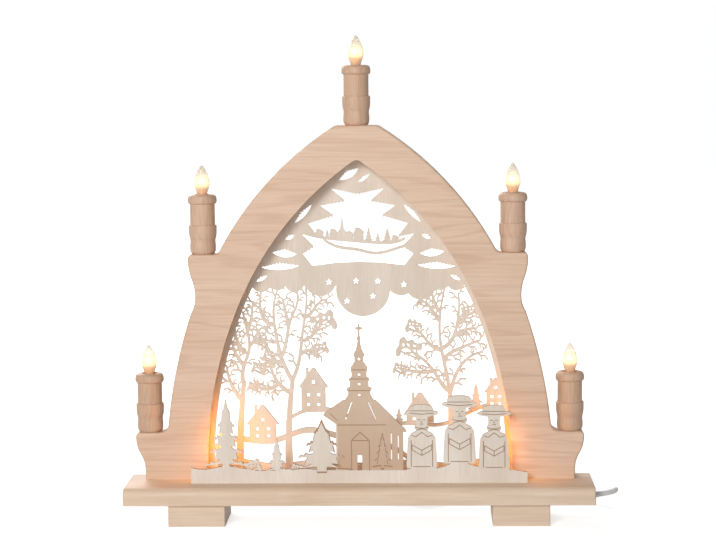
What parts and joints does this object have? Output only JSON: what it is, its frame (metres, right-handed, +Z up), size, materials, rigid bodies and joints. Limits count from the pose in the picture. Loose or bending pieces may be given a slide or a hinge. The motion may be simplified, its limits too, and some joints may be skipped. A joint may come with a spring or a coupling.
{
  "type": "candle arch",
  "caption": "Pointed wooden candle arch with fretwork winter scene, turned candles with small flame bulbs, board base and plug lead.",
  "frame": {"origin": "middle of the board's footprint, on the surface that the feet stand on", "axes": "+X to the right along the board, +Y towards the back, +Z up"},
  "size_m": [0.4564, 0.1797, 0.445],
  "materials": {
    "board_wood": "fine straight grain, matt clear finish, round front edge",
    "arch_wood": "pale alder-like wood with level grain, satin",
    "plywood": "pale birch plywood, sanded, edges slightly browned",
    "turned_wood": "turned, fine upright grain, satin",
    "veneer": "thin veneer strip, matt",
    "cover_board": "thin brown fibreboard, matt",
    "screw_steel": "bright zinc plated, countersunk",
    "pin_brass": "bright",
    "socket_plastic": "ivory, matt",
    "shell_brass": "bright",
    "bulb_glass": "clear, thin",
    "cap_nickel": "nickel plated, rolled thread look",
    "filament_wire": "thin wire on a glass stem",
    "cord_sheath": "white flexible sheath, half gloss",
    "plug_plastic": "white moulded, half gloss"
  },
  "bodies": {
    "stand": {"base_board": "board_wood", "foot_left": "board_wood", "foot_right": "board_wood", "base_cover": "cover_board", "cord_clamp": "cover_board", "cover_screws": "screw_steel", "foot_screws": "screw_steel", "arch_screws": "screw_steel", "arch_frame": "arch_wood", "wire_cover": "veneer", "arch_wires": "cord_sheath", "base_wires": "cord_sheath", "rear_fretwork": "plywood", "rear_pins": "pin_brass", "front_fretwork": "plywood", "candle_top_cup": "turned_wood", "candle_top_sleeve": "turned_wood", "candle_upper_left_cup": "turned_wood", "candle_upper_left_sleeve": "turned_wood", "candle_upper_right_cup": "turned_wood", "candle_upper_right_sleeve": "turned_wood", "candle_lower_left_cup": "turned_wood", "candle_lower_left_sleeve": "turned_wood", "candle_lower_right_cup": "turned_wood", "candle_lower_right_sleeve": "turned_wood", "socket_top": "socket_plastic", "socket_upper_left": "socket_plastic", "socket_upper_right": "socket_plastic", "socket_lower_left": "socket_plastic", "socket_lower_right": "socket_plastic", "socket_inner_left": "socket_plastic", "socket_inner_right": "socket_plastic", "socket_shells": "shell_brass", "socket_contacts": "shell_brass", "cord": "cord_sheath", "cord_coil": "cord_sheath", "cord_tail": "cord_sheath", "plug_body": "plug_plastic", "plug_pins": "pin_brass"},
    "cap_top": {"bulb_top_cap": "cap_nickel"},
    "bulb_top": {"bulb_top_glass": "bulb_glass", "bulb_top_filament": "filament_wire"},
    "cap_upper_left": {"bulb_upper_left_cap": "cap_nickel"},
    "bulb_upper_left": {"bulb_upper_left_glass": "bulb_glass", "bulb_upper_left_filament": "filament_wire"},
    "cap_upper_right": {"bulb_upper_right_cap": "cap_nickel"},
    "bulb_upper_right": {"bulb_upper_right_glass": "bulb_glass", "bulb_upper_right_filament": "filament_wire"},
    "cap_lower_left": {"bulb_lower_left_cap": "cap_nickel"},
    "bulb_lower_left": {"bulb_lower_left_glass": "bulb_glass", "bulb_lower_left_filament": "filament_wire"},
    "cap_lower_right": {"bulb_lower_right_cap": "cap_nickel"},
    "bulb_lower_right": {"bulb_lower_right_glass": "bulb_glass", "bulb_lower_right_filament": "filament_wire"},
    "cap_inner_left": {"bulb_inner_left_cap": "cap_nickel"},
    "bulb_inner_left": {"bulb_inner_left_glass": "bulb_glass", "bulb_inner_left_filament": "filament_wire"},
    "cap_inner_right": {"bulb_inner_right_cap": "cap_nickel"},
    "bulb_inner_right": {"bulb_inner_right_glass": "bulb_glass", "bulb_inner_right_filament": "filament_wire"}
  },
  "joints": [
    {"name": "lift_top", "type": "slide", "parent": "stand", "child": "cap_top", "axis": [0, 0, 1], "range_m": [0, 0.00724]},
    {"name": "turn_top", "type": "hinge", "parent": "cap_top", "child": "bulb_top", "pos_m": [0, 0.019, 0.4162], "axis": [0, 0, 1], "range_deg": [0, 1440]},
    {"name": "lift_upper_left", "type": "slide", "parent": "stand", "child": "cap_upper_left", "axis": [0, 0, 1], "range_m": [0, 0.00724]},
    {"name": "turn_upper_left", "type": "hinge", "parent": "cap_upper_left", "child": "bulb_upper_left", "pos_m": [-0.1428, 0.019, 0.299], "axis": [0, 0, 1], "range_deg": [0, 1440]},
    {"name": "lift_upper_right", "type": "slide", "parent": "stand", "child": "cap_upper_right", "axis": [0, 0, 1], "range_m": [0, 0.00724]},
    {"name": "turn_upper_right", "type": "hinge", "parent": "cap_upper_right", "child": "bulb_upper_right", "pos_m": [0.1428, 0.019, 0.299], "axis": [0, 0, 1], "range_deg": [0, 1440]},
    {"name": "lift_lower_left", "type": "slide", "parent": "stand", "child": "cap_lower_left", "axis": [0, 0, 1], "range_m": [0, 0.00724]},
    {"name": "turn_lower_left", "type": "hinge", "parent": "cap_lower_left", "child": "bulb_lower_left", "pos_m": [-0.1951, 0.019, 0.133], "axis": [0, 0, 1], "range_deg": [0, 1440]},
    {"name": "lift_lower_right", "type": "slide", "parent": "stand", "child": "cap_lower_right", "axis": [0, 0, 1], "range_m": [0, 0.00724]},
    {"name": "turn_lower_right", "type": "hinge", "parent": "cap_lower_right", "child": "bulb_lower_right", "pos_m": [0.1951, 0.019, 0.133], "axis": [0, 0, 1], "range_deg": [0, 1440]},
    {"name": "lift_inner_left", "type": "slide", "parent": "stand", "child": "cap_inner_left", "axis": [0, 0, 1], "range_m": [0, 0.00724]},
    {"name": "turn_inner_left", "type": "hinge", "parent": "cap_inner_left", "child": "bulb_inner_left", "pos_m": [-0.124, 0.005, 0.058], "axis": [0, 0, 1], "range_deg": [0, 1440]},
    {"name": "lift_inner_right", "type": "slide", "parent": "stand", "child": "cap_inner_right", "axis": [0, 0, 1], "range_m": [0, 0.00724]},
    {"name": "turn_inner_right", "type": "hinge", "parent": "cap_inner_right", "child": "bulb_inner_right", "pos_m": [0.124, 0.005, 0.058], "axis": [0, 0, 1], "range_deg": [0, 1440]}
  ],
  "couplings": [
    {"joint": "turn_top", "follows": "lift_top", "rad_per_m": 3471.4},
    {"joint": "turn_upper_left", "follows": "lift_upper_left", "rad_per_m": 3471.4},
    {"joint": "turn_upper_right", "follows": "lift_upper_right", "rad_per_m": 3471.4},
    {"joint": "turn_lower_left", "follows": "lift_lower_left", "rad_per_m": 3471.4},
    {"joint": "turn_lower_right", "follows": "lift_lower_right", "rad_per_m": 3471.4},
    {"joint": "turn_inner_left", "follows": "lift_inner_left", "rad_per_m": 3471.4},
    {"joint": "turn_inner_right", "follows": "lift_inner_right", "rad_per_m": 3471.4}
  ]
}
